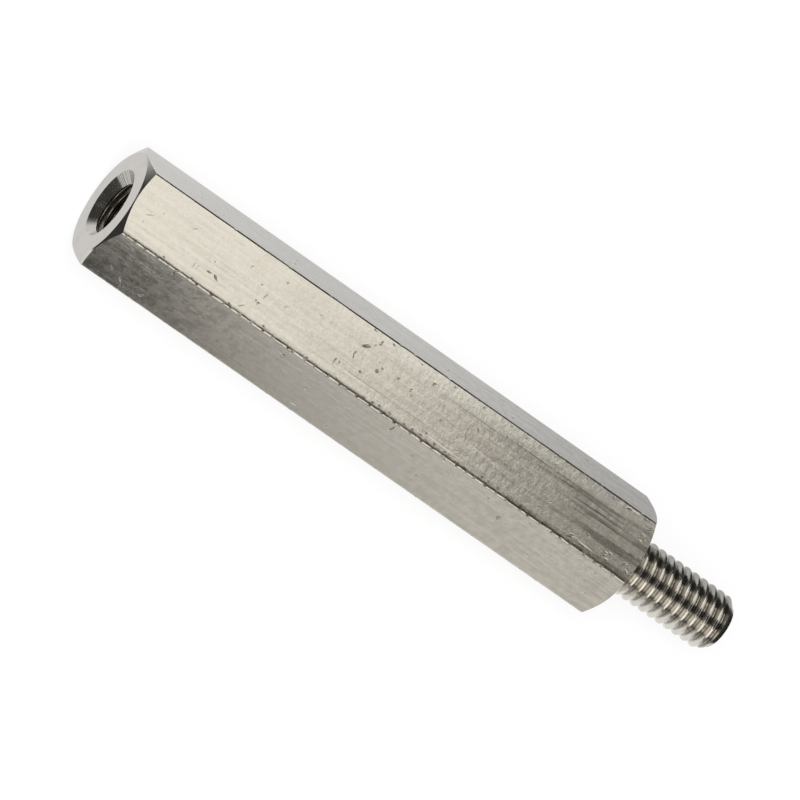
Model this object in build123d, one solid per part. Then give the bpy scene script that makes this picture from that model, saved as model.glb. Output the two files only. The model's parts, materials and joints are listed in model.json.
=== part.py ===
from build123d import *
import os
from math import radians, tan

# Male-female hexagonal standoff, turned in one piece from drawn hexagonal bar.
# Millimetres. The part's axis is X and it lies on one of its flats, with +Z up.
# The origin is on the axis, at the end face with the threaded hole. The stud points to +X.

# Hexagonal body
across_flats = 5.5
body_length = 30.0
edge_radius = 0.1  # the long edges, as the drawn bar leaves them
chamfer_inset = 0.07  # how far inside the flats each turned end face stops
chamfer_angle = 30.0  # of the end chamfers, from the end face

# The thread, which the stud and the hole share, so that standoffs stack
thread_diameter = 3.0
thread_pitch = 0.5
thread_allowance = 0.04  # how far the stud's crests stand inside the nominal size, all round

# Stud
stud_length = 6.0
tip_depth = 0.36  # how far in from the thread's crests the tip is turned down
tip_angle = 40.0  # of the tip's chamfer, from the axis

# Threaded hole
hole_depth = 12.0  # at its full diameter, which leaves room for the tap's lead
mouth_clearance = 0.25  # how far the countersink's rim stands outside the thread
mouth_angle = 45.0  # of the countersink's wall, from the axis
drill_angle = 59.0  # of the drilled cone at the bottom, from the axis

# Worked out from the sizes above
face_radius = across_flats / 2 - chamfer_inset
stud_radius = thread_diameter / 2 - thread_allowance
tip_radius = stud_radius - tip_depth
hole_radius = (thread_diameter - thread_pitch) / 2
mouth_radius = thread_diameter / 2 + mouth_clearance


def turned(*corners):
    """A solid turned about the X axis from its half section, given as (x, radius) corners."""
    outline = Polyline(*corners, close=True)
    section = Plane.XZ * make_face(outline)
    return revolve(section, axis=Axis.X)


def hexagonal_bar():
    """A length of bar with flats at top and bottom and its long edges rounded."""
    section = RegularPolygon(across_flats / 2, 6, major_radius=False)
    section = fillet(section.vertices(), edge_radius)
    return extrude(Plane.YZ * section, body_length)


def chamfered_body():
    """The bar with both ends faced and its corners turned back to a chamfer."""
    outer_radius = across_flats  # well outside the bar's corners
    chamfer_length = (outer_radius - face_radius) * tan(radians(chamfer_angle))
    envelope = turned(
        (0, 0),
        (0, face_radius),
        (chamfer_length, outer_radius),
        (body_length - chamfer_length, outer_radius),
        (body_length, face_radius),
        (body_length, 0),
    )
    return hexagonal_bar() & envelope


def stud():
    """The stud at its thread's outside diameter, with a chamfered tip."""
    stud_end = body_length + stud_length
    tip_length = tip_depth / tan(radians(tip_angle))
    return turned(
        (body_length, 0),
        (body_length, stud_radius),
        (stud_end - tip_length, stud_radius),
        (stud_end, tip_radius),
        (stud_end, 0),
    )


def tapped_hole():
    """The hole at its thread's inside diameter, with its countersink and drilled bottom."""
    mouth_depth = (mouth_radius - hole_radius) / tan(radians(mouth_angle))
    cone_depth = hole_radius / tan(radians(drill_angle))
    return turned(
        (0, 0),
        (0, mouth_radius),
        (mouth_depth, hole_radius),
        (hole_depth, hole_radius),
        (hole_depth + cone_depth, 0),
    )


def hex_standoff():
    """The whole standoff, as one solid."""
    return chamfered_body() + stud() - tapped_hole()


os.makedirs("parts", exist_ok=True)
export_step(hex_standoff(), "parts/hex_standoff.step")
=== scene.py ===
"""A hex standoff lying on one of its flats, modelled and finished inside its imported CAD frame.

The part's axis is X, with the tapped hole at the origin and the stud towards +X. Lengths are in metres.
"""

import json
from math import cos, pi, radians, sin, sqrt, tan
from random import Random

import bpy
from bpy.props import FloatProperty, FloatVectorProperty, IntProperty, PointerProperty
from mathutils import Euler, Matrix, Vector


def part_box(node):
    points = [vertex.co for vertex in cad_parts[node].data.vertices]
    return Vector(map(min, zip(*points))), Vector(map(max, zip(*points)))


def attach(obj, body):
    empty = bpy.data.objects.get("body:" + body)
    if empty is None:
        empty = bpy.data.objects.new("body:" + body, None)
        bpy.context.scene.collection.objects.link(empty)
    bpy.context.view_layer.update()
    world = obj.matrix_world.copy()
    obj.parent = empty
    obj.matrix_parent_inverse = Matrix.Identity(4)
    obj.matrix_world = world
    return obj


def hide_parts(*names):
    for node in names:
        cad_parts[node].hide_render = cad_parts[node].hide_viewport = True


bl_info = {
    "name": "Hex Standoff",
    "version": (1, 0, 0),
    "blender": (4, 5, 0),
    "location": "View3D > Sidebar > Standoff",
    "description": "Models a threaded hex standoff and the studio that it is shown in",
    "category": "Add Mesh",
}

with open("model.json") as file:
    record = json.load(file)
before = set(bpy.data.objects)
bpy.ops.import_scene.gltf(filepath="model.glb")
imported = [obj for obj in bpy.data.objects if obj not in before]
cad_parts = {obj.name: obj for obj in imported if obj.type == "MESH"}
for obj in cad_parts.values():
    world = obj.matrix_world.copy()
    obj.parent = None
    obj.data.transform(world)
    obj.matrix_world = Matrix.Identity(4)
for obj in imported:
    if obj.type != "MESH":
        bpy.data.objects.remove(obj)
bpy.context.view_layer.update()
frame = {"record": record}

MM = 0.001
NODE = "hex_standoff"
SLOT = "nickel_plated_brass"
LOW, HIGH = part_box(NODE)
MOUNTS = {mount["name"]: mount for mount in frame["record"]["mounts"]}
PLATING = next(slot for slot in frame["record"]["materials"] if slot["slot"] == SLOT)

ACROSS_FLATS = HIGH.z - LOW.z
BODY_LENGTH = MOUNTS["shoulder"]["pos_m"][0]
STUD_LENGTH = HIGH.x - BODY_LENGTH
STUD_RADIUS = MOUNTS["stud"]["dims"]["r_mm"] * MM
TIP_LENGTH = STUD_LENGTH - MOUNTS["stud"]["dims"]["length_mm"] * MM
HOLE_RADIUS = MOUNTS["threaded_hole"]["dims"]["r_mm"] * MM
HOLE_DEPTH = 12 * MM
DRILL_ANGLE = radians(59)  # of the hole's drilled point, from the axis
TIP_ANGLE = radians(40)  # of the stud's chamfered tip, from the axis

# The threads, which only the visual model has
GROOVE_RADIUS = STUD_RADIUS + 0.04 * MM  # of the hole's grooves
GROOVE_ROUNDING = 0.07 * MM
TAP_LEAD = 2.5 * MM  # the bottom of the hole, where the tap cuts no full thread
THREAD_STEPS = 72  # corners in one turn

# Corners round a turned tool: many where its shape shows
FINE_SIDES = 192
COARSE_SIDES = 96
# How far a tool that cuts through a face starts outside it
CLEARANCE = 0.2 * MM
# Faces steeper to each other than this keep a crisp edge between them
CRISP_ANGLE = radians(27)
# A face this near an end, whose normal leans this far along the axis, was turned on the lathe
TURNED_REACH = 0.4 * MM
TURNED_LEAN = sin(radians(20))

# The marks chosen for the three flats that face up: (along the bar, across the flat, length, width,
# depth) in millimetres, and the turn within the flat in degrees. Across is 0 at the flat's middle
# line.
UPPER_FLAT_MARKS = (
    (4.78, -0.76, 0.30, 0.12, 0.036, 4),
    (5.16, -0.80, 0.32, 0.14, 0.060, -38),
    (5.30, -0.88, 0.16, 0.07, 0.022, -20),
    (4.78, -0.22, 0.09, 0.09, 0.016, 0),
    (7.70, -0.20, 0.41, 0.07, 0.022, 68),
    (7.56, -0.68, 0.18, 0.17, 0.018, 35),
    (7.40, -0.60, 0.14, 0.09, 0.019, -60),
    (8.32, 0.93, 0.12, 0.10, 0.016, 20),
    (7.28, 0.17, 0.09, 0.10, 0.022, 0),
    (6.48, 0.57, 0.23, 0.14, 0.008, 60),
    (3.22, 0.48, 0.30, 0.14, 0.006, 30),
    (0.95, -0.22, 0.57, 0.10, 0.006, 28),
    (3.98, -0.95, 0.34, 0.07, 0.016, 82),
    (4.18, -0.90, 0.28, 0.07, 0.013, 75),
    (6.92, -1.18, 0.39, 0.07, 0.016, 40),
    (8.85, -0.09, 0.23, 0.20, 0.007, 15),
    (10.50, 0.55, 0.14, 0.12, 0.007, 0),
    (12.12, -0.82, 0.37, 0.10, 0.029, 84),
    (12.36, -0.80, 0.23, 0.09, 0.019, 96),
    (12.80, 0.04, 0.25, 0.10, 0.029, 70),
    (12.82, -0.16, 0.23, 0.09, 0.026, 112),
    (13.13, 0.61, 0.50, 0.16, 0.062, 28),
    (13.70, 1.12, 0.30, 0.12, 0.035, 75),
    (13.50, 0.90, 0.18, 0.07, 0.016, 40),
    (14.15, -0.08, 0.17, 0.19, 0.064, 0),
    (14.33, 0.17, 0.16, 0.13, 0.035, 40),
    (14.08, 0.34, 0.11, 0.09, 0.019, 0),
    (13.47, -0.54, 0.17, 0.17, 0.035, 0),
    (15.24, 0.22, 0.18, 0.14, 0.026, 55),
    (16.05, 0.10, 0.21, 0.12, 0.022, 70),
    (16.18, -0.10, 0.14, 0.10, 0.019, 20),
    (16.90, 0.96, 0.25, 0.17, 0.022, 10),
    (17.72, -1.13, 0.23, 0.12, 0.026, -35),
    (18.03, -0.25, 0.16, 0.12, 0.022, 45),
    (19.50, -0.25, 0.28, 0.10, 0.022, -50),
    (19.86, 0.38, 0.39, 0.10, 0.032, -52),
    (21.26, 0.90, 0.15, 0.12, 0.035, 80),
    (21.84, -0.21, 0.16, 0.13, 0.032, 60),
    (23.20, 0.12, 0.30, 0.09, 0.026, 42),
    (24.00, 1.16, 0.18, 0.13, 0.026, 0),
    (24.60, -0.50, 0.23, 0.12, 0.022, 60),
    (25.60, -0.10, 0.21, 0.10, 0.022, -40),
    (26.30, -1.20, 0.34, 0.20, 0.035, 20),
    (27.05, -0.72, 0.23, 0.14, 0.029, -30),
    (27.50, 0.95, 0.39, 0.09, 0.019, 3),
    (28.22, -1.00, 0.30, 0.23, 0.048, 50),
    (28.46, -0.86, 0.25, 0.14, 0.042, -25),
    (28.38, -1.18, 0.23, 0.13, 0.032, 10),
    (28.90, -0.58, 0.46, 0.09, 0.029, 5),
    (29.42, -0.32, 0.69, 0.07, 0.032, 1),
    (29.30, -0.86, 0.34, 0.14, 0.035, 35),
    (29.55, -1.12, 0.30, 0.13, 0.038, -30),
    (29.62, 1.20, 0.39, 0.14, 0.042, 48),
    (28.20, 1.42, 0.46, 0.14, 0.032, 12),
)
NEAR_FLAT_MARKS = (
    (1.87, 0.66, 0.30, 0.11, 0.040, 2),
    (2.58, 0.66, 0.50, 0.12, 0.045, 1),
    (3.40, 1.36, 0.34, 0.10, 0.032, 80),
    (1.30, -0.60, 0.60, 0.07, 0.009, -45),
    (2.05, -0.95, 0.50, 0.07, 0.009, -40),
    (3.30, -1.00, 0.34, 0.17, 0.016, 25),
    (5.92, 0.08, 0.16, 0.14, 0.029, 0),
    (9.85, 1.10, 0.18, 0.12, 0.026, -30),
    (10.02, 1.01, 0.25, 0.20, 0.058, 78),
    (12.02, 0.15, 0.23, 0.14, 0.029, -60),
    (12.30, -1.10, 0.25, 0.13, 0.026, 30),
    (14.20, -1.10, 0.34, 0.10, 0.026, -50),
    (14.92, 0.52, 0.16, 0.14, 0.032, 0),
    (14.92, -1.02, 0.16, 0.16, 0.032, 0),
    (16.30, 1.18, 0.51, 0.10, 0.042, 84),
    (18.97, -0.42, 0.25, 0.13, 0.032, -40),
    (19.15, 1.45, 0.28, 0.14, 0.032, -50),
    (22.10, -0.68, 0.15, 0.16, 0.032, 0),
    (23.21, 0.38, 0.22, 0.23, 0.058, 0),
    (23.60, 0.88, 0.17, 0.10, 0.022, 70),
    (24.40, 1.20, 0.21, 0.09, 0.022, 84),
    (25.64, -0.52, 0.17, 0.17, 0.026, 20),
    (28.50, 0.93, 0.14, 0.14, 0.026, 0),
    (28.90, -0.40, 0.34, 0.14, 0.016, 30),
)
FAR_FLAT_MARKS = (
    (3.10, -0.40, 0.34, 0.12, 0.016, 62),
    (4.30, -0.80, 0.39, 0.09, 0.019, 66),
    (8.75, 0.15, 0.34, 0.13, 0.019, 60),
    (8.50, -0.60, 0.25, 0.12, 0.019, 50),
    (17.50, -0.55, 0.46, 0.10, 0.022, 58),
    (21.30, -0.85, 0.34, 0.12, 0.022, 62),
    (24.20, 0.60, 0.30, 0.12, 0.016, 55),
    (26.00, 0.60, 0.39, 0.10, 0.022, 64),
)
# Long marks that the drawing die left on the upper flat: (start, end, across, width, depth), in
# millimetres
DRAW_MARKS = (
    (20.6, 27.4, 0.86, 0.07, 0.007),
    (16.0, 24.5, 0.78, 0.05, 0.004),
    (22.3, 29.7, 0.60, 0.26, 0.010),
    (24.6, 29.9, 0.36, 0.16, 0.008),
    (26.6, 29.9, 0.10, 0.10, 0.006),
    (12.0, 19.0, -0.88, 0.06, 0.003),
)
# Rows of small dents beside the upper flat's edges: (start, end, across, how many), in millimetres
EDGE_DENT_ROWS = (
    (1.5, 14, -1.42, 6),
    (14, 29.7, -1.38, 34),
    (12, 29.7, 1.42, 11),
)
# The mark of a tube's end on the upper flat: (along, across, radius, wall), in millimetres
TUBE_MARK = (29.45, 0.62, 0.17, 0.035)
# The flats in order round the bar, from the top towards -Y
FLAT_NAMES = ("upper", "near", "lower_near", "under", "lower_far", "far")
CHOSEN_MARKS = {"upper": UPPER_FLAT_MARKS, "near": NEAR_FLAT_MARKS, "far": FAR_FLAT_MARKS}

# The dents and nicks that are placed at random, in millimetres: (least, most), and the least gaps
DENTS_ON_A_FLAT = 24
DENT_GAP = 0.5
DENT_LENGTH = (0.12, 0.4)
DENT_WIDTH = (0.06, 0.12)
DENT_DEPTH = (0.01, 0.025)
ROW_DENT_LENGTH = (0.1, 0.24)
ROW_DENT_WIDTH = (0.08, 0.14)
ROW_DENT_DEPTH = (0.02, 0.05)
ROW_SWAY = (-0.05, 0.05)
NICK_GAP = 0.25
NICK_LENGTH = (0.15, 0.42)
NICK_WIDTH = 0.24
NICK_DEPTH = (0.03, 0.075)
NICKS_ON_UPPER_EDGE = 3  # times as many as on the other edges

# How the glowing cards change along the bar: (x in millimetres, part of the card's strength)
OVERHEAD_FADE = (
    (20, 0.97), (36, 0.96), (41, 0.90), (46, 0.73), (51, 0.48), (56, 0.21), (59, 0.08), (64, 0.02),
    (70, 0.35), (75, 0.85), (90, 0.85),
)
NEAR_FLOOR_FADE = (
    (2, 0.12), (6.5, 0.17), (9, 0.28), (11.5, 0.46), (14, 0.6), (21, 0.8), (27, 0.93), (33, 1.02),
)
FAR_FLOOR_FADE = ((2, 1), (12, 0.9), (17, 0.89), (22, 0.825), (27, 0.735), (32, 0.66))
CHAMFER_FADE = ((-14, 0.14), (-8, 0.35), (-1, 1))
CARD_RADIUS = 80 * MM  # of the ring of cards, from the bar's axis
CARD_SPAN = (-120 * MM, 160 * MM)  # of the ring of cards, along X
SENSOR_WIDTH = 36  # millimetres, as the lens is
LAMP_PLACE = (-0.1, -0.1, 0.4)
LAMP_SIZE = 0.3


class StandoffSizes(bpy.types.PropertyGroup):
    """Sizes that the frame doesn't state, and how worn the part is."""

    edge_radius: FloatProperty(
        name="Edge radius", description="Rounding of the bar's long edges",
        default=0.18 * MM, min=0.01 * MM, max=0.5 * MM, precision=5, unit="LENGTH",
    )
    chamfer_inset: FloatProperty(
        name="Chamfer inset", description="How far inside the flats the turned end faces stop",
        default=0.07 * MM, min=0.01 * MM, max=0.5 * MM, precision=5, unit="LENGTH",
    )
    chamfer_angle: FloatProperty(
        name="Chamfer angle", description="Of the end chamfers, from the end face",
        default=radians(30), min=radians(10), max=radians(60), subtype="ANGLE",
    )
    thread_pitch: FloatProperty(
        name="Thread pitch", description="Distance between the thread's crests",
        default=0.5 * MM, min=0.2 * MM, max=1.0 * MM, precision=5, unit="LENGTH",
    )
    thread_height: FloatProperty(
        name="Thread height", description="From the stud thread's roots to its crests",
        default=0.27 * MM, min=0.1 * MM, max=0.6 * MM, precision=5, unit="LENGTH",
    )
    crest_radius: FloatProperty(
        name="Crest radius", description="Rounding of the stud thread's crests",
        default=0.1 * MM, min=0.01 * MM, max=0.2 * MM, precision=5, unit="LENGTH",
    )
    mouth_radius: FloatProperty(
        name="Mouth radius", description="Outer radius of the countersink",
        default=1.75 * MM, min=1.5 * MM, max=2.4 * MM, precision=5, unit="LENGTH",
    )
    wear_seed: IntProperty(
        name="Wear seed", description="Picks another set of small nicks", default=11, min=0,
    )
    edge_nicks: IntProperty(
        name="Edge nicks", description="Small nicks along each long edge", default=16, min=0, max=60,
    )


class StandoffFinish(bpy.types.PropertyGroup):
    """Colours of the plating."""

    plating: FloatVectorProperty(
        name="Plating", description="Clean nickel plate",
        default=PLATING["base_color"], size=3, min=0, max=1, subtype="COLOR",
    )
    burnished: FloatVectorProperty(
        name="Burnished", description="Nickel plate where it has been rubbed bright",
        default=(0.80, 0.785, 0.73), size=3, min=0, max=1, subtype="COLOR",
    )
    tarnish: FloatVectorProperty(
        name="Tarnish", description="Nickel plate where it has dulled",
        default=(0.52, 0.49, 0.435), size=3, min=0, max=1, subtype="COLOR",
    )
    # This colour also paints shade: in the thread roots, inside the hole, beside the upper flat's near
    # edge and on the near flat towards the hole end
    grime_and_shade: FloatVectorProperty(
        name="Grime", description="Oil and dirt left in the threads and pits",
        default=(0.16, 0.14, 0.115), size=3, min=0, max=1, subtype="COLOR",
    )


class StudioSettings(bpy.types.PropertyGroup):
    """The camera and the light that the standoff is shown in."""

    azimuth: FloatProperty(
        name="Azimuth", description="Of the camera, round the standoff",
        default=radians(-54.37), subtype="ANGLE",
    )
    elevation: FloatProperty(
        name="Elevation", description="Of the camera, above the floor",
        default=radians(64.60), subtype="ANGLE",
    )
    roll: FloatProperty(
        name="Roll", description="Turn of the camera about its own axis",
        default=radians(86.47), subtype="ANGLE",
    )
    aim: FloatVectorProperty(
        name="Aim", description="The point that the camera looks at",
        default=(16.856 * MM, 0.173 * MM, 0.048 * MM), size=3, precision=5, subtype="TRANSLATION",
        unit="LENGTH",
    )
    distance: FloatProperty(
        name="Distance", description="From the camera to the point that it looks at",
        default=622.65 * MM, min=0.1, unit="LENGTH",
    )
    lens: FloatProperty(
        name="Lens", description="Focal length, for a sensor 36 mm wide", default=616.33, min=1,
    )
    softbox: FloatVectorProperty(
        name="Softbox", description="Colour of the two long softboxes",
        default=(1.0, 0.965, 0.90), size=3, min=0, max=1, subtype="COLOR",
    )
    softbox_strength: FloatProperty(
        name="Softbox strength", description="Of the softbox overhead", default=1.28, min=0,
    )
    lamp_power: FloatProperty(
        name="Lamp power", description="Of the lamp that casts the soft shadow, in watts",
        default=1.6, min=0,
    )


# Modelling


def deselect_all():
    if bpy.context.mode != "OBJECT":
        bpy.ops.object.mode_set(mode="OBJECT")
    bpy.ops.object.select_all(action="DESELECT")


def pick(piece):
    """Leaves this piece alone selected and active."""
    deselect_all()
    bpy.context.view_layer.objects.active = piece
    piece.select_set(True)


def apply_place(piece):
    pick(piece)
    bpy.ops.object.transform_apply(location=True, rotation=True, scale=True)


def apply_modifier(piece, kind, **settings):
    pick(piece)
    modifier = piece.modifiers.new(kind.title(), kind)
    for name, value in settings.items():
        setattr(modifier, name, value)
    bpy.ops.object.modifier_apply(modifier=modifier.name)


def combine(piece, tool, operation):
    """Cuts the piece with the tool, joins them or keeps what they share, and uses the tool up."""
    apply_modifier(piece, "BOOLEAN", operation=operation, object=tool, solver="MANIFOLD")
    bpy.data.meshes.remove(tool.data)
    if not piece.data.polygons:
        raise RuntimeError(f"{piece.name}: nothing is left after {operation.lower()}")


def select_edges(piece, wanted):
    """Opens the piece in edit mode with only the edges selected that wanted(start, end) is true for."""
    pick(piece)
    bpy.ops.object.mode_set(mode="EDIT")
    bpy.ops.mesh.select_mode(type="EDGE")
    bpy.ops.mesh.select_all(action="DESELECT")
    bpy.ops.object.mode_set(mode="OBJECT")
    points = piece.data.vertices
    for edge in piece.data.edges:
        start, end = (points[index].co for index in edge.vertices)
        edge.select = wanted(start, end)
    bpy.ops.object.mode_set(mode="EDIT")


def face_outwards(piece):
    pick(piece)
    bpy.ops.object.mode_set(mode="EDIT")
    bpy.ops.mesh.select_all(action="SELECT")
    bpy.ops.mesh.normals_make_consistent(inside=False)
    bpy.ops.object.mode_set(mode="OBJECT")


def turned(name, rings, sides):
    """A closed solid turned about the X axis through these (x, radius) rings."""
    deselect_all()
    x, radius = rings[0]
    bpy.ops.mesh.primitive_circle_add(
        vertices=sides, radius=radius, fill_type="NGON", location=(x, 0, 0), rotation=(0, pi / 2, 0),
    )
    piece = bpy.context.object
    piece.name = name
    apply_place(piece)
    bpy.ops.object.mode_set(mode="EDIT")
    bpy.ops.mesh.select_all(action="SELECT")
    for next_x, next_radius in rings[1:]:
        bpy.ops.mesh.extrude_region_move(TRANSFORM_OT_translate={"value": (next_x - x, 0, 0)})
        if next_radius > 0:
            change = next_radius / radius
            bpy.ops.transform.resize(value=(1, change, change), center_override=(next_x, 0, 0))
        else:
            bpy.ops.mesh.merge(type="CENTER")
        x, radius = next_x, next_radius
    face_outwards(piece)
    return piece


def thread_profile(crest, root, crest_rounding, pitch):
    """One pitch of a 60 degree thread, from root to root, as (x, radius) points."""
    step = radians(20)
    root_rounding = pitch / 2 / tan(radians(30)) - (crest - root) - crest_rounding
    rising = [
        (root_rounding * sin(step * turn), root + root_rounding * (1 - cos(step * turn)))
        for turn in range(4)
    ]
    over = [
        (
            pitch / 2 + crest_rounding * sin(step * turn),
            crest - crest_rounding * (1 - cos(step * turn)),
        )
        for turn in range(-3, 4)
    ]
    falling = [(pitch - x, radius) for x, radius in reversed(rising)]
    return rising + over + falling


def thread_rod(name, profile, start, turns):
    """A closed rod with a right-hand thread of this profile, from start along +X."""
    pitch = profile[-1][0]
    line = bpy.data.meshes.new(name)
    corners = [(start + x, 0, radius) for x, radius in profile]
    line.from_pydata(corners, [(index, index + 1) for index in range(len(corners) - 1)], [])
    piece = bpy.data.objects.new(name, line)
    bpy.context.scene.collection.objects.link(piece)
    apply_modifier(
        piece, "SCREW", axis="X", angle=2 * pi, screw_offset=pitch, iterations=turns,
        steps=THREAD_STEPS, render_steps=THREAD_STEPS, use_merge_vertices=False,
    )
    bpy.ops.object.mode_set(mode="EDIT")
    bpy.ops.mesh.select_all(action="SELECT")
    bpy.ops.mesh.remove_doubles(threshold=0.001 * MM)
    bpy.ops.object.mode_set(mode="OBJECT")
    middle = start + turns * pitch / 2
    for side in (-1, 1):
        close_rod_end(piece, middle, side)
    face_outwards(piece)
    return piece


def close_rod_end(piece, middle, side):
    """Draws the rod's open rim on one side of the middle together to a point."""
    pick(piece)
    bpy.ops.object.mode_set(mode="EDIT")
    bpy.ops.mesh.select_mode(type="EDGE")
    bpy.ops.mesh.select_all(action="DESELECT")
    bpy.ops.mesh.select_non_manifold(extend=False)
    bpy.ops.object.mode_set(mode="OBJECT")
    open_rims = {edge.index for edge in piece.data.edges if edge.select}
    points = piece.data.vertices
    for vertex in points:
        vertex.select = False
    for face in piece.data.polygons:
        face.select = False
    for edge in piece.data.edges:
        start, end = (points[index].co for index in edge.vertices)
        edge.select = edge.index in open_rims and ((start.x + end.x) / 2 - middle) * side > 0
    bpy.ops.object.mode_set(mode="EDIT")
    bpy.ops.mesh.extrude_edges_move()
    bpy.ops.mesh.merge(type="CENTER")
    bpy.ops.object.mode_set(mode="OBJECT")


def flat_turn(flat):
    """Turn about X that brings the upper flat to this one."""
    return Matrix.Rotation(radians(60) * FLAT_NAMES.index(flat), 4, "X")


def cut_together(bar, tools):
    """Cuts the bar with tools that don't touch each other."""
    deselect_all()
    for tool in tools:
        tool.select_set(True)
    bpy.context.view_layer.objects.active = tools[0]
    bpy.ops.object.join()
    combine(bar, bpy.context.object, "DIFFERENCE")


def mark_tool(flat, reach, along, across, length, width, depth, turn):
    """The tool for an oval mark in a flat, whose surface is at this reach from the bar's axis."""
    # The tool is an egg whose middle floats above the surface by this part of its own half height
    lift = 0.6
    half_height = depth / (1 - lift)
    spread = sqrt(1 - lift * lift)
    deselect_all()
    bpy.ops.mesh.primitive_ico_sphere_add(subdivisions=3, radius=1)
    tool = bpy.context.object
    place = Vector((along, across, reach + lift * half_height))
    size = Vector((length / 2 / spread, width / 2 / spread, half_height))
    in_flat = Matrix.LocRotScale(place, Euler((0, 0, turn)), size)
    tool.matrix_world = flat_turn(flat) @ in_flat
    apply_place(tool)
    return tool


def press_tube_mark(bar, reach):
    """Presses the mark of a small tube's end into the upper flat."""
    along, across, radius, wall = (size * MM for size in TUBE_MARK)
    deselect_all()
    bpy.ops.mesh.primitive_torus_add(
        major_radius=radius, minor_radius=wall, major_segments=32, minor_segments=10,
    )
    tool = bpy.context.object
    place = Vector((along, across, reach + wall / 2))
    tool.matrix_world = flat_turn("upper") @ Matrix.Translation(place)
    apply_place(tool)
    combine(bar, tool, "DIFFERENCE")


def wear_bar(bar, sizes):
    """Presses the dents, nicks and draw marks into the bar."""
    reach = ACROSS_FLATS / 2
    for start, end, across, width, depth in DRAW_MARKS:
        tool = mark_tool(
            "upper", reach, (start + end) / 2 * MM, across * MM, (end - start) * MM, width * MM,
            depth * MM, 0,
        )
        combine(bar, tool, "DIFFERENCE")
    for flat, marks in CHOSEN_MARKS.items():
        for along, across, length, width, depth, turn in marks:
            tool = mark_tool(
                flat, reach, along * MM, across * MM, length * MM, width * MM, depth * MM,
                radians(turn),
            )
            combine(bar, tool, "DIFFERENCE")
    press_tube_mark(bar, reach)

    chance = Random(sizes.wear_seed)
    for flat in FLAT_NAMES:
        if flat not in CHOSEN_MARKS:
            cut_together(bar, scattered_dents(chance, flat, reach))
    for row in EDGE_DENT_ROWS:
        cut_together(bar, dent_row(chance, reach, *row))
    corner = 1 / cos(pi / 6)
    edge_reach = reach * corner - sizes.edge_radius * (corner - 1)
    for flat in FLAT_NAMES:
        count = sizes.edge_nicks * (NICKS_ON_UPPER_EDGE if flat == "upper" else 1)
        cut_together(bar, edge_nicks(chance, flat, edge_reach, count))


def scattered_dents(chance, flat, reach):
    """Tools for dents all over a flat."""
    most_across = 0.8 * reach * tan(pi / 6)
    return [
        mark_tool(
            flat, reach, along, chance.uniform(-1, 1) * most_across,
            chance.uniform(*DENT_LENGTH) * MM, chance.uniform(*DENT_WIDTH) * MM,
            chance.uniform(*DENT_DEPTH) * MM, chance.uniform(-pi / 2, pi / 2),
        )
        for along in spread_along(chance, DENTS_ON_A_FLAT, DENT_GAP * MM)
    ]


def dent_row(chance, reach, start, end, across, count):
    """Tools for a row of small dents on the upper flat."""
    room = (end - start) / count
    return [
        mark_tool(
            "upper", reach, (start + (index + chance.uniform(0.25, 0.75)) * room) * MM,
            (across + chance.uniform(*ROW_SWAY)) * MM, chance.uniform(*ROW_DENT_LENGTH) * MM,
            chance.uniform(*ROW_DENT_WIDTH) * MM, chance.uniform(*ROW_DENT_DEPTH) * MM,
            chance.uniform(-0.6, 0.6),
        )
        for index in range(count)
    ]


def edge_nicks(chance, flat, reach, count):
    """Tools for nicks in the long edge that follows this flat, going round the bar."""
    return [
        edge_tool(
            flat, reach, along, chance.uniform(*NICK_LENGTH) * MM,
            chance.uniform(*NICK_DEPTH) * MM, chance.uniform(-0.5, 0.5),
        )
        for along in spread_along(chance, count, NICK_GAP * MM)
    ]


def spread_along(chance, count, gap):
    """Uneven places along the bar that stay at least this gap apart."""
    room = BODY_LENGTH / count
    return [
        (index + 0.5) * room + chance.uniform(-0.5, 0.5) * (room - gap) for index in range(count)
    ]


def edge_tool(flat, reach, along, length, depth, turn):
    """The tool for one nick in the long edge, halfway from this flat to the next."""
    deselect_all()
    bpy.ops.mesh.primitive_ico_sphere_add(subdivisions=2, radius=1)
    tool = bpy.context.object
    # The tool is this much taller than the nick is deep, which makes the nick's sides slope
    half_height = 4 * depth
    place = Vector((along, 0, reach + half_height - depth))
    size = Vector((length / 2, NICK_WIDTH / 2 * MM, half_height))
    on_edge = Matrix.LocRotScale(place, Euler((0, 0, turn)), size)
    tool.matrix_world = flat_turn(flat) @ Matrix.Rotation(radians(30), 4, "X") @ on_edge
    apply_place(tool)
    return tool


def bar_with_rounded_edges(sizes):
    """The drawn bar: a six-sided length with flats at top and bottom and its long edges rounded."""
    corner_radius = ACROSS_FLATS / 2 / cos(pi / 6)
    deselect_all()
    bpy.ops.mesh.primitive_cylinder_add(
        vertices=6, radius=corner_radius, depth=BODY_LENGTH, location=(BODY_LENGTH / 2, 0, 0),
        rotation=(0, pi / 2, 0),
    )
    bar = bpy.context.object
    bar.name = "standoff"
    bar.data.name = "standoff"
    apply_place(bar)
    select_edges(bar, lambda start, end: abs(end.x - start.x) > BODY_LENGTH / 2)
    bpy.ops.mesh.bevel(
        offset=sizes.edge_radius * tan(pi / 6), offset_type="OFFSET", segments=4, profile=0.5,
        affect="EDGES",
    )
    bpy.ops.object.mode_set(mode="OBJECT")
    return bar


def turn_ends(bar, sizes):
    """Faces both ends and turns the corners back."""
    face_radius = ACROSS_FLATS / 2 - sizes.chamfer_inset
    outside = ACROSS_FLATS / 2 / cos(pi / 6) + CLEARANCE
    length = (outside - face_radius) * tan(sizes.chamfer_angle)
    rings = [
        (0, face_radius), (length, outside), (BODY_LENGTH - length, outside),
        (BODY_LENGTH, face_radius),
    ]
    combine(bar, turned("envelope", rings, FINE_SIDES), "INTERSECT")


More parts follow.
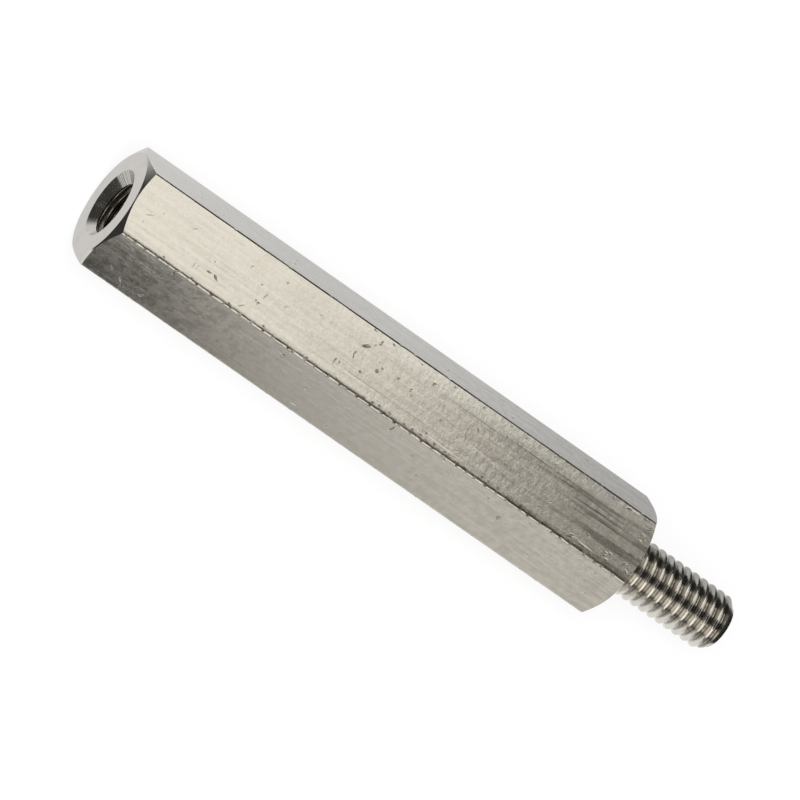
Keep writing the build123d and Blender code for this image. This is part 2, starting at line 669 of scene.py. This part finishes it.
def tap_hole(bar, sizes):
    """Drills, countersinks and taps the hole."""
    pitch = sizes.thread_pitch
    full_thread = HOLE_DEPTH - TAP_LEAD
    profile = thread_profile(GROOVE_RADIUS, HOLE_RADIUS, GROOVE_ROUNDING, pitch)
    tap = thread_rod("tap", profile, -pitch, round(full_thread / pitch) + 3)
    # The lead runs the last thread out into the hole's wall
    lead_rings = [
        (-CLEARANCE, GROOVE_RADIUS), (full_thread, GROOVE_RADIUS),
        (full_thread + pitch, HOLE_RADIUS - 0.05 * MM),
    ]
    combine(tap, turned("lead", lead_rings, COARSE_SIDES), "INTERSECT")
    point = HOLE_DEPTH + HOLE_RADIUS / tan(DRILL_ANGLE)
    drill_rings = [(-CLEARANCE, HOLE_RADIUS), (HOLE_DEPTH, HOLE_RADIUS), (point, 0)]
    drill = turned("drill", drill_rings, COARSE_SIDES)
    # The countersink's wall is at 45 degrees, and its tool ends inside the drilled hole
    inside = 3 * CLEARANCE
    countersink_rings = [
        (-CLEARANCE, sizes.mouth_radius + CLEARANCE), (inside, sizes.mouth_radius - inside),
    ]
    countersink = turned("countersink", countersink_rings, FINE_SIDES)
    for tool in (tap, drill, countersink):
        combine(bar, tool, "DIFFERENCE")


def threaded_stud(sizes):
    """The stud, rooted in the body, with a chamfered tip."""
    pitch = sizes.thread_pitch
    root_radius = STUD_RADIUS - sizes.thread_height
    profile = thread_profile(STUD_RADIUS, root_radius, sizes.crest_radius, pitch)
    turns = round(STUD_LENGTH / pitch) + 4
    stud = thread_rod("stud", profile, BODY_LENGTH - 2 * pitch, turns)
    end = BODY_LENGTH + STUD_LENGTH
    rings = [
        (BODY_LENGTH - 0.3 * MM, STUD_RADIUS), (end - TIP_LENGTH, STUD_RADIUS),
        (end, STUD_RADIUS - TIP_LENGTH * tan(TIP_ANGLE)),
    ]
    combine(stud, turned("blank", rings, COARSE_SIDES), "INTERSECT")
    return stud


def surface_finish(middle, normal):
    """The finish of a face, by where it lies and how it faces."""
    radius = sqrt(middle.y ** 2 + middle.z ** 2)
    if middle.x > BODY_LENGTH + 0.005 * MM:
        return "stud"
    if radius < GROOVE_RADIUS + 0.02 * MM and 0.002 * MM < middle.x < HOLE_DEPTH + 2 * MM:
        return "hole"
    near_end = not TURNED_REACH < middle.x < BODY_LENGTH - TURNED_REACH
    return "turned" if near_end and abs(normal.x) > TURNED_LEAN else "drawn"


def finish_surfaces(piece, materials):
    """Gives each face its material, and sets crisp and smooth edges."""
    piece.data.materials.clear()
    for material in materials.values():
        piece.data.materials.append(material)
    order = list(materials)
    for face in piece.data.polygons:
        face.material_index = order.index(surface_finish(face.center, face.normal))
    pick(piece)
    bpy.ops.object.shade_smooth_by_angle(angle=CRISP_ANGLE, keep_sharp_edges=False)
    apply_modifier(piece, "WEIGHTED_NORMAL", mode="FACE_AREA", weight=70, keep_sharp=True)


# Materials


def new_metal(name):
    """A material with a bare metal shader, and its tree and shader."""
    material = bpy.data.materials.new(name)
    material.use_nodes = True
    tree = material.node_tree
    shader = tree.nodes["Principled BSDF"]
    shader.inputs["Metallic"].default_value = 1.0
    return material, tree, shader


def place_in_mm(tree, stretch=(1, 1, 1), turn=(0, 0, 0)):
    """The place on the part, in millimetres, stretched or turned for a pattern."""
    place = tree.nodes.new("ShaderNodeTexCoord")
    mapping = tree.nodes.new("ShaderNodeMapping")
    mapping.inputs["Scale"].default_value = [factor / MM for factor in stretch]
    mapping.inputs["Rotation"].default_value = [radians(angle) for angle in turn]
    tree.links.new(place.outputs["Object"], mapping.inputs["Vector"])
    return mapping.outputs["Vector"]


def separate(tree, vector):
    """The vector's X, Y and Z."""
    split = tree.nodes.new("ShaderNodeSeparateXYZ")
    tree.links.new(vector, split.inputs["Vector"])
    return [split.outputs[axis] for axis in "XYZ"]


def noise(tree, vector, per_mm, detail=3.0, roughness=0.55):
    texture = tree.nodes.new("ShaderNodeTexNoise")
    texture.inputs["Scale"].default_value = per_mm
    texture.inputs["Detail"].default_value = detail
    texture.inputs["Roughness"].default_value = roughness
    tree.links.new(vector, texture.inputs["Vector"])
    return texture.outputs[0]


def remap(tree, value, low, high, new_low=0.0, new_high=1.0):
    """The value between low and high brought to between new_low and new_high, and held there."""
    node = tree.nodes.new("ShaderNodeMapRange")
    node.interpolation_type = "SMOOTHSTEP"
    numbers = {"From Min": low, "From Max": high, "To Min": new_low, "To Max": new_high}
    for name, number in numbers.items():
        node.inputs[name].default_value = number
    tree.links.new(value, node.inputs["Value"])
    return node.outputs["Result"]


def calculate(tree, operation, first, second):
    """A Math node. Each of the two values is a socket or a number."""
    node = tree.nodes.new("ShaderNodeMath")
    node.operation = operation
    for socket, value in zip(node.inputs, (first, second)):
        if isinstance(value, (int, float)):
            socket.default_value = value
        else:
            tree.links.new(value, socket)
    return node.outputs[0]


def multiply(tree, first, *others):
    for other in others:
        first = calculate(tree, "MULTIPLY", first, other)
    return first


def distance_from(tree, value, middle):
    """How far the value is from the middle, either way."""
    return calculate(tree, "ABSOLUTE", calculate(tree, "SUBTRACT", value, middle), 0.0)


def blend_colours(tree, factor, first, second):
    """Goes from the first colour to the second. Each is a socket or a colour."""
    node = tree.nodes.new("ShaderNodeMix")
    node.data_type = "RGBA"
    tree.links.new(factor, node.inputs[0])
    for socket, colour in ((node.inputs[6], first), (node.inputs[7], second)):
        if isinstance(colour, bpy.types.NodeSocket):
            tree.links.new(colour, socket)
        else:
            socket.default_value = (*colour, 1)
    return node.outputs[2]


def bump(tree, height, depth, below=None):
    """Raises the surface by the height, which is 0 to 1, times the depth."""
    node = tree.nodes.new("ShaderNodeBump")
    node.inputs["Strength"].default_value = 1.0
    node.inputs["Distance"].default_value = depth
    tree.links.new(height, node.inputs["Height"])
    if below:
        tree.links.new(below, node.inputs["Normal"])
    return node.outputs["Normal"]


def hairline_scratches(tree, turn, per_mm, thickness):
    """Thin scratches along one direction: 1 in a scratch and 0 beside it."""
    line = noise(tree, place_in_mm(tree, (0.12, 1, 1), turn), per_mm, 1.0)
    scratch = remap(tree, distance_from(tree, line, 0.5), 0.0, thickness, 1.0, 0.0)
    patches = remap(tree, noise(tree, place_in_mm(tree), 0.8, 2.0), 0.5, 0.62)
    return multiply(tree, scratch, patches)


def small_pits(tree, per_mm, radius):
    """Scattered pits: 1 at a pit's middle and 0 outside it. Most cells of the pattern have none."""
    cells = tree.nodes.new("ShaderNodeTexVoronoi")
    cells.inputs["Scale"].default_value = per_mm
    tree.links.new(place_in_mm(tree), cells.inputs["Vector"])
    pit = remap(tree, cells.outputs["Distance"], 0.0, radius, 1.0, 0.0)
    some = remap(tree, noise(tree, place_in_mm(tree), per_mm * 0.6, 1.0), 0.52, 0.6)
    return multiply(tree, pit, some)


def depth_below_flat(tree, place):
    """How deep the place lies below the nearest flat, in millimetres, in a mark or on an edge."""
    _, y, z = separate(tree, place)
    across = calculate(tree, "ABSOLUTE", y, 0.0)
    up = calculate(tree, "ABSOLUTE", z, 0.0)
    slanting = calculate(
        tree, "ADD", multiply(tree, across, sin(radians(60))), multiply(tree, up, cos(radians(60))),
    )
    reach = calculate(tree, "MAXIMUM", up, slanting)
    return calculate(tree, "SUBTRACT", ACROSS_FLATS / 2 / MM, reach)


def flat_colour(tree, colours, place, cloud, peel, grain, lines, pits):
    """Colour of the flats: dulled, burnished and dirty in places, with painted shade beside the upper
    flat's near edge and on the near flat towards the hole end. The places are in millimetres.
    """
    x, y, z = separate(tree, place)
    on_top = remap(tree, z, 2.55, 2.7)
    on_near = remap(tree, y, -1.74, -1.64, 1.0, 0.0)

    # Tarnish, more of it towards the stud and less along the upper flat's far edge
    clean = multiply(tree, on_top, remap(tree, y, 0.7, 1.35, 0.0, 0.8))
    worn = calculate(tree, "SUBTRACT", 1.0, clean)
    mottle = calculate(tree, "ADD", multiply(tree, peel, 0.5), multiply(tree, lines, 0.5))
    towards_stud = remap(tree, x, 5.0, 29.0, 0.22, 0.7)
    dull = multiply(tree, remap(tree, mottle, 0.4, 0.62), towards_stud, worn)
    stain = multiply(tree, remap(tree, cloud, 0.5, 0.75), 0.3)
    tarnished = calculate(tree, "MAXIMUM", dull, stain)
    colour = blend_colours(tree, tarnished, colours.plating, colours.tarnish)
    burnished = multiply(tree, clean, remap(tree, x, 9.0, 19.0))
    colour = blend_colours(tree, burnished, colour, colours.burnished)

    # Dark draw streaks on the upper flat, near the stud
    streaks = noise(tree, place_in_mm(tree, (0.07, 1, 1)), 2.6, 3.0, 0.6)
    near_stud = remap(tree, x, 16.0, 29.0, 0.0, 0.62)
    streaked = multiply(tree, remap(tree, streaks, 0.46, 0.66), multiply(tree, on_top, near_stud, worn))
    colour = blend_colours(tree, streaked, colour, colours.grime_and_shade)

    # The near flat is darkened and mottled towards the hole end: painted shade of the darker reflection
    # there, partly smudges from handling
    near_flat_mottle = remap(tree, noise(tree, place, 1.9, 5.0, 0.72), 0.44, 0.62)
    near_hole = remap(tree, x, 2.0, 13.0, 0.42, 0.0)
    smudges_and_shade = multiply(tree, near_flat_mottle, multiply(tree, on_near, near_hole))
    colour = blend_colours(tree, smudges_and_shade, colour, colours.grime_and_shade)

    # Grime in the marks, and a dark line painted on the upper flat beside its near edge: painted shade
    # of the worn edge, uneven along it
    in_mark = remap(tree, depth_below_flat(tree, place), 0.008, 0.03)
    caught = multiply(tree, in_mark, remap(tree, grain, 0.35, 0.6, 0.25, 0.65))
    # The dark line beside the near edge is painted shade, stronger towards the stud
    painted_edge_line = remap(tree, distance_from(tree, y, -1.47), 0.01, 0.09, 1.0, 0.0)
    uneven = remap(tree, peel, 0.35, 0.6, 0.4, 1.0)
    edge_line_growth = remap(tree, x, 2.0, 22.0, 0.4, 0.85)
    painted_edge_line = multiply(tree, painted_edge_line, on_top, multiply(tree, uneven, edge_line_growth))
    grime_and_edge_shade = calculate(tree, "MAXIMUM", caught, painted_edge_line)
    colour = blend_colours(tree, grime_and_edge_shade, colour, colours.grime_and_shade)
    return blend_colours(tree, multiply(tree, pits, 0.8), colour, colours.grime_and_shade)


def drawn_finish(colours):
    """The flats: plated over the drawn bar's skin, with draw lines, orange peel and scratches."""
    material, tree, shader = new_metal("drawn_nickel")
    place = place_in_mm(tree)

    cloud = noise(tree, place, 0.5, 4.0)
    peel = noise(tree, place, 2.6, 3.0)
    grain = noise(tree, place, 8.0, 3.0, 0.65)
    lines = noise(tree, place_in_mm(tree, (0.04, 1, 1)), 6.0, 4.0, 0.65)
    pits = small_pits(tree, 1.5, 0.12)
    scratches = hairline_scratches(tree, (0, 0, 35), 1.6, 0.006)
    cross_scratches = hairline_scratches(tree, (20, 0, -50), 1.3, 0.005)

    colour = flat_colour(tree, colours, place, cloud, peel, grain, lines, pits)
    tree.links.new(colour, shader.inputs["Base Color"])
    rough = remap(tree, calculate(tree, "ADD", lines, grain), 0.7, 1.3, 0.16, 0.26)
    tree.links.new(rough, shader.inputs["Roughness"])

    # The bar has rubbed against others more towards its stud end. Heights are in millimetres.
    rubbed = remap(tree, separate(tree, place)[0], 7.0, 29.0, 0.5, 1.0)
    normal = None
    for height, depth in ((peel, 0.014), (grain, 0.007), (lines, 0.011)):
        normal = bump(tree, multiply(tree, height, rubbed), depth * MM, normal)
    for height, depth in ((pits, 0.010), (scratches, 0.001), (cross_scratches, 0.001)):
        normal = bump(tree, calculate(tree, "SUBTRACT", 1.0, height), depth * MM, normal)
    tree.links.new(normal, shader.inputs["Normal"])
    return material


def turned_finish(colours):
    """End faces, chamfers and countersink: fine tool rings round the axis under the plate."""
    material, tree, shader = new_metal("turned_nickel")
    place = place_in_mm(tree)
    rings = tree.nodes.new("ShaderNodeTexWave")
    rings.wave_type = "RINGS"
    rings.rings_direction = "X"
    rings.inputs["Scale"].default_value = 3.2
    rings.inputs["Distortion"].default_value = 0.6
    rings.inputs["Detail"].default_value = 2.0
    tree.links.new(place, rings.inputs["Vector"])
    cloud = noise(tree, place, 1.1, 4.0)
    grain = noise(tree, place, 12.0, 2.0)

    dull = multiply(tree, remap(tree, cloud, 0.45, 0.7), 0.3)
    colour = blend_colours(tree, dull, colours.plating, colours.tarnish)
    tree.links.new(colour, shader.inputs["Base Color"])
    rough = remap(tree, calculate(tree, "ADD", cloud, grain), 0.7, 1.3, 0.12, 0.19)
    tree.links.new(rough, shader.inputs["Roughness"])
    normal = bump(tree, rings.outputs[1], 0.0006 * MM)
    normal = bump(tree, grain, 0.0008 * MM, normal)
    normal = bump(tree, cloud, 0.004 * MM, normal)
    tree.links.new(normal, shader.inputs["Normal"])
    return material


def distance_from_axis(tree, place):
    _, y, z = separate(tree, place)
    squares = [multiply(tree, part, part) for part in (y, z)]
    return calculate(tree, "SQRT", calculate(tree, "ADD", *squares), 0.0)


def stud_finish(colours):
    """The stud's thread: bright crests, roots darkened with painted shade and oil, and faint lines
    round it.
    """
    material, tree, shader = new_metal("stud_thread")
    place = place_in_mm(tree)
    grain = noise(tree, place, 7.0, 3.0)
    cloud = noise(tree, place, 1.6, 3.0)
    around = noise(tree, place_in_mm(tree, (1, 0.15, 0.15)), 12.0, 2.0)
    radius = distance_from_axis(tree, place)
    crest = STUD_RADIUS / MM
    # Painted shade darkens the thread roots, unevenly, mixed with some oil
    in_root = remap(tree, radius, crest - 0.24, crest - 0.11, 1.0, 0.0)
    dirt_and_shade = multiply(tree, in_root, remap(tree, grain, 0.35, 0.65, 0.5, 0.85))
    dull = multiply(tree, remap(tree, cloud, 0.4, 0.7), 0.3)
    colour = blend_colours(tree, dull, colours.plating, colours.tarnish)
    tree.links.new(blend_colours(tree, dirt_and_shade, colour, colours.grime_and_shade), shader.inputs["Base Color"])
    tree.links.new(remap(tree, grain, 0.3, 0.7, 0.14, 0.26), shader.inputs["Roughness"])
    normal = bump(tree, grain, 0.0025 * MM)
    normal = bump(tree, around, 0.0012 * MM, normal)
    tree.links.new(normal, shader.inputs["Normal"])
    return material


def hole_finish(colours):
    """The tapped hole: painted shade, the colour darkening with depth into the hole."""
    material, tree, shader = new_metal("tapped_hole")
    place = place_in_mm(tree)
    grain = noise(tree, place, 7.0, 3.0)
    depth = separate(tree, place)[0]
    # Painted shade: the colour darkens with depth into the hole, a little unevenly
    painted_bore_shade = remap(tree, depth, 0.1, 1.0, 0.55, 1.0)
    painted_bore_shade = multiply(tree, painted_bore_shade, remap(tree, grain, 0.3, 0.6, 0.85, 1.0))
    colour = blend_colours(tree, painted_bore_shade, colours.plating, colours.grime_and_shade)
    tree.links.new(colour, shader.inputs["Base Color"])
    tree.links.new(remap(tree, grain, 0.3, 0.7, 0.22, 0.4), shader.inputs["Roughness"])
    tree.links.new(bump(tree, grain, 0.003 * MM), shader.inputs["Normal"])
    return material


# Stage


def glow(name, colour, strength, fade=None):
    """A plain glowing material. A fade of (x, part) steps, in millimetres, changes it along X."""
    material = bpy.data.materials.new(name)
    material.use_nodes = True
    tree = material.node_tree
    tree.nodes.remove(tree.nodes["Principled BSDF"])
    emission = tree.nodes.new("ShaderNodeEmission")
    emission.inputs["Color"].default_value = (*colour, 1)
    emission.inputs["Strength"].default_value = strength
    tree.links.new(emission.outputs[0], tree.nodes["Material Output"].inputs["Surface"])
    if fade:
        first, last = fade[0][0], fade[-1][0]
        ramp = tree.nodes.new("ShaderNodeValToRGB")
        steps = ramp.color_ramp.elements
        while len(steps) < len(fade):
            steps.new(0.5)
        for step, (x, part) in zip(steps, fade):
            step.position = (x - first) / (last - first)
            step.color = (part, part, part, 1)
        where = tree.nodes.new("ShaderNodeMapRange")
        where.inputs["From Min"].default_value = first
        where.inputs["From Max"].default_value = last
        tree.links.new(separate(tree, place_in_mm(tree))[0], where.inputs["Value"])
        tree.links.new(where.outputs["Result"], ramp.inputs["Fac"])
        level = multiply(tree, ramp.outputs["Color"], strength)
        tree.links.new(level, emission.inputs["Strength"])
    return material


def card(name, size, place, turn, material):
    """A flat card that only the metal's reflections see."""
    deselect_all()
    bpy.ops.mesh.primitive_plane_add(size=1)
    made = bpy.context.object
    made.name = name
    made.matrix_world = Matrix.LocRotScale(Vector(place), Euler(turn), Vector((*size, 1)))
    apply_place(made)
    made.data.materials.append(material)
    made.visible_camera = False
    made.visible_diffuse = False
    made.visible_shadow = False
    made.visible_transmission = False


def ring_card(name, low, high, material):
    """A card along the bar between two angles, in degrees from straight up towards -Y."""
    start, end = CARD_SPAN
    middle = radians((low + high) / 2)
    width = 2 * CARD_RADIUS * tan(radians(high - low) / 2)
    place = ((start + end) / 2, -CARD_RADIUS * sin(middle), CARD_RADIUS * cos(middle))
    card(name, (end - start, width), place, (middle, 0, 0), material)


def floor_material():
    """Pale floor: white to the camera and in reflections, and shaded by the lamp."""
    material = bpy.data.materials.new("floor")
    material.use_nodes = True
    tree = material.node_tree
    tree.nodes.remove(tree.nodes["Principled BSDF"])
    matt = tree.nodes.new("ShaderNodeBsdfDiffuse")
    matt.inputs["Color"].default_value = (0.9, 0.9, 0.9, 1)
    white = tree.nodes.new("ShaderNodeEmission")
    mix = tree.nodes.new("ShaderNodeMixShader")
    tree.links.new(multiply(tree, seen_directly(tree), 0.85), mix.inputs[0])
    tree.links.new(matt.outputs[0], mix.inputs[1])
    tree.links.new(white.outputs[0], mix.inputs[2])
    tree.links.new(mix.outputs[0], tree.nodes["Material Output"].inputs["Surface"])
    return material


def seen_directly(tree):
    """1 for rays from the camera, from a reflection and through glass, and 0 for diffuse light."""
    path = tree.nodes.new("ShaderNodeLightPath")
    rays = calculate(tree, "MAXIMUM", path.outputs["Is Camera Ray"], path.outputs["Is Glossy Ray"])
    return calculate(tree, "MAXIMUM", rays, path.outputs["Is Transmission Ray"])


def white_world():
    world = bpy.data.worlds.new("studio")
    world.use_nodes = True
    tree = world.node_tree
    background = tree.nodes["Background"]
    background.inputs["Color"].default_value = (1, 1, 1, 1)
    strength = remap(tree, seen_directly(tree), 0.0, 1.0, 0.55, 1.0)
    tree.links.new(strength, background.inputs["Strength"])
    bpy.context.scene.world = world


def add_camera(studio):
    azimuth, elevation = studio.azimuth, studio.elevation
    back = Vector((sin(azimuth) * cos(elevation), -cos(azimuth) * cos(elevation), sin(elevation)))
    deselect_all()
    bpy.ops.object.camera_add(location=Vector(studio.aim) + back * studio.distance)
    camera = bpy.context.object
    upright = back.to_track_quat("Z", "Y").to_matrix()
    camera.rotation_euler = (upright @ Matrix.Rotation(studio.roll, 3, "Z")).to_euler()
    camera.data.lens = studio.lens
    camera.data.sensor_width = SENSOR_WIDTH
    camera.data.clip_end = 10
    bpy.context.scene.camera = camera


def add_floor():
    deselect_all()
    bpy.ops.mesh.primitive_plane_add(size=3, location=(0, 0, LOW.z))
    floor = bpy.context.object
    floor.name = "floor"
    floor.data.materials.append(floor_material())


def add_lamp(studio):
    """The lamp that casts the object's soft shadow on the floor."""
    deselect_all()
    bpy.ops.object.light_add(type="AREA", radius=LAMP_SIZE, location=LAMP_PLACE)
    lamp = bpy.context.object
    lamp.rotation_euler = Vector(lamp.location).to_track_quat("Z", "Y").to_euler()
    lamp.data.energy = studio.lamp_power
    lamp.visible_camera = False
    lamp.visible_glossy = False


def add_cards(studio):
    """The softboxes and flags round the bar, which shape its reflections."""
    warm = tuple(studio.softbox)
    strength = studio.softbox_strength
    overhead = glow("overhead_softbox", warm, strength, OVERHEAD_FADE)
    second = glow("second_softbox", warm, 1.08 * strength)
    black = glow("black_flag", (1, 0.98, 0.95), 0.045)
    grey = glow("grey_flag", (1, 1, 1), 0.18)
    near = glow("near_floor_card", (1, 0.97, 0.92), 0.74, NEAR_FLOOR_FADE)
    far = glow("far_floor_card", (0.99, 0.99, 1), 0.83, FAR_FLOOR_FADE)
    end = glow("end_floor_card", (0.99, 0.985, 1), 0.83)
    fade = glow("chamfer_floor_card", (1, 1, 1), 0.8, CHAMFER_FADE)

    ring_card("overhead_softbox", -45, -3, overhead)
    ring_card("top_flag", -3, 35, black)
    ring_card("second_softbox", 35, 77, second)
    ring_card("near_flag", 77, 91.5, grey)
    ring_card("far_flag", -91.5, -45, black)

    # (name, material, from x, to x, from y, to y), in millimetres
    floor_cards = (
        ("near_floor_card", near, -1, 45, -34, -8),
        ("far_floor_card", far, -1, 40, 3.5, 14),
        ("far_floor_flag", black, -40, 120, 14, 90),
        ("end_floor_card", end, -3.4, -0.02, -3.5, 3.5),
        ("chamfer_floor_card", fade, -14, -1, 3.5, 14),
        ("hole_end_floor_flag", black, -60, -14, -34, 14),
        ("hole_mouth_floor_flag", black, -14, -3.4, -34, 3.5),
        ("stud_end_floor_flag", black, 40, 120, -8, 14),
        ("corner_floor_flag", black, 45, 120, -60, -8),
    )
    above_floor = LOW.z + 0.05 * MM
    for name, material, start, stop, near_side, far_side in floor_cards:
        size = ((stop - start) * MM, (far_side - near_side) * MM)
        middle = ((start + stop) / 2 * MM, (near_side + far_side) / 2 * MM, above_floor)
        card(name, size, middle, (0, 0, 0), material)
    # (name, x, height, width), in millimetres
    upright_flags = (("hole_end_flag", -60, 40, 180), ("stud_end_flag", 120, 40, 80))
    for name, x, height, width in upright_flags:
        place = (x * MM, 0, 17 * MM)
        card(name, (height * MM, width * MM), place, (0, pi / 2, 0), black)


class STANDOFF_OT_model(bpy.types.Operator):
    """Model the standoff: bar, wear, turned ends, tapped hole and threaded stud"""

    bl_idname = "standoff.model"
    bl_label = "Model Standoff"
    bl_options = {"REGISTER", "UNDO"}

    def execute(self, context):
        sizes = context.scene.standoff_sizes
        colours = context.scene.standoff_finish
        standoff = bar_with_rounded_edges(sizes)
        wear_bar(standoff, sizes)
        turn_ends(standoff, sizes)
        tap_hole(standoff, sizes)
        combine(standoff, threaded_stud(sizes), "UNION")
        materials = {
            "drawn": drawn_finish(colours),
            "turned": turned_finish(colours),
            "stud": stud_finish(colours),
            "hole": hole_finish(colours),
        }
        finish_surfaces(standoff, materials)
        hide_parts(NODE)
        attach(standoff, "root")
        return {"FINISHED"}


class STANDOFF_OT_stage(bpy.types.Operator):
    """Set up the floor, the white surround, the lamp, the light cards and the camera"""

    bl_idname = "standoff.stage"
    bl_label = "Set Up Stage"
    bl_options = {"REGISTER", "UNDO"}

    def execute(self, context):
        studio = context.scene.standoff_studio
        context.scene.view_settings.view_transform = "Standard"
        add_floor()
        white_world()
        add_camera(studio)
        add_lamp(studio)
        add_cards(studio)
        return {"FINISHED"}


class STANDOFF_PT_panel(bpy.types.Panel):
    """Makes the standoff and its stage"""

    bl_label = "Hex Standoff"
    bl_idname = "STANDOFF_PT_panel"
    bl_space_type = "VIEW_3D"
    bl_region_type = "UI"
    bl_category = "Standoff"

    def draw(self, context):
        scene = context.scene
        for operator, group in (
            (STANDOFF_OT_model, scene.standoff_sizes),
            (None, scene.standoff_finish),
            (STANDOFF_OT_stage, scene.standoff_studio),
        ):
            column = self.layout.column()
            for name in group.__annotations__:
                column.prop(group, name)
            if operator:
                column.operator(operator.bl_idname)


CLASSES = (
    StandoffSizes,
    StandoffFinish,
    StudioSettings,
    STANDOFF_OT_model,
    STANDOFF_OT_stage,
    STANDOFF_PT_panel,
)


def register():
    for made_class in CLASSES:
        bpy.utils.register_class(made_class)
    bpy.types.Scene.standoff_sizes = PointerProperty(type=StandoffSizes)
    bpy.types.Scene.standoff_finish = PointerProperty(type=StandoffFinish)
    bpy.types.Scene.standoff_studio = PointerProperty(type=StudioSettings)


def unregister():
    del bpy.types.Scene.standoff_studio
    del bpy.types.Scene.standoff_finish
    del bpy.types.Scene.standoff_sizes
    for made_class in reversed(CLASSES):
        bpy.utils.unregister_class(made_class)


def main():
    register()
    bpy.ops.standoff.model()
    bpy.ops.standoff.stage()


if __name__ == "__main__":
    main()
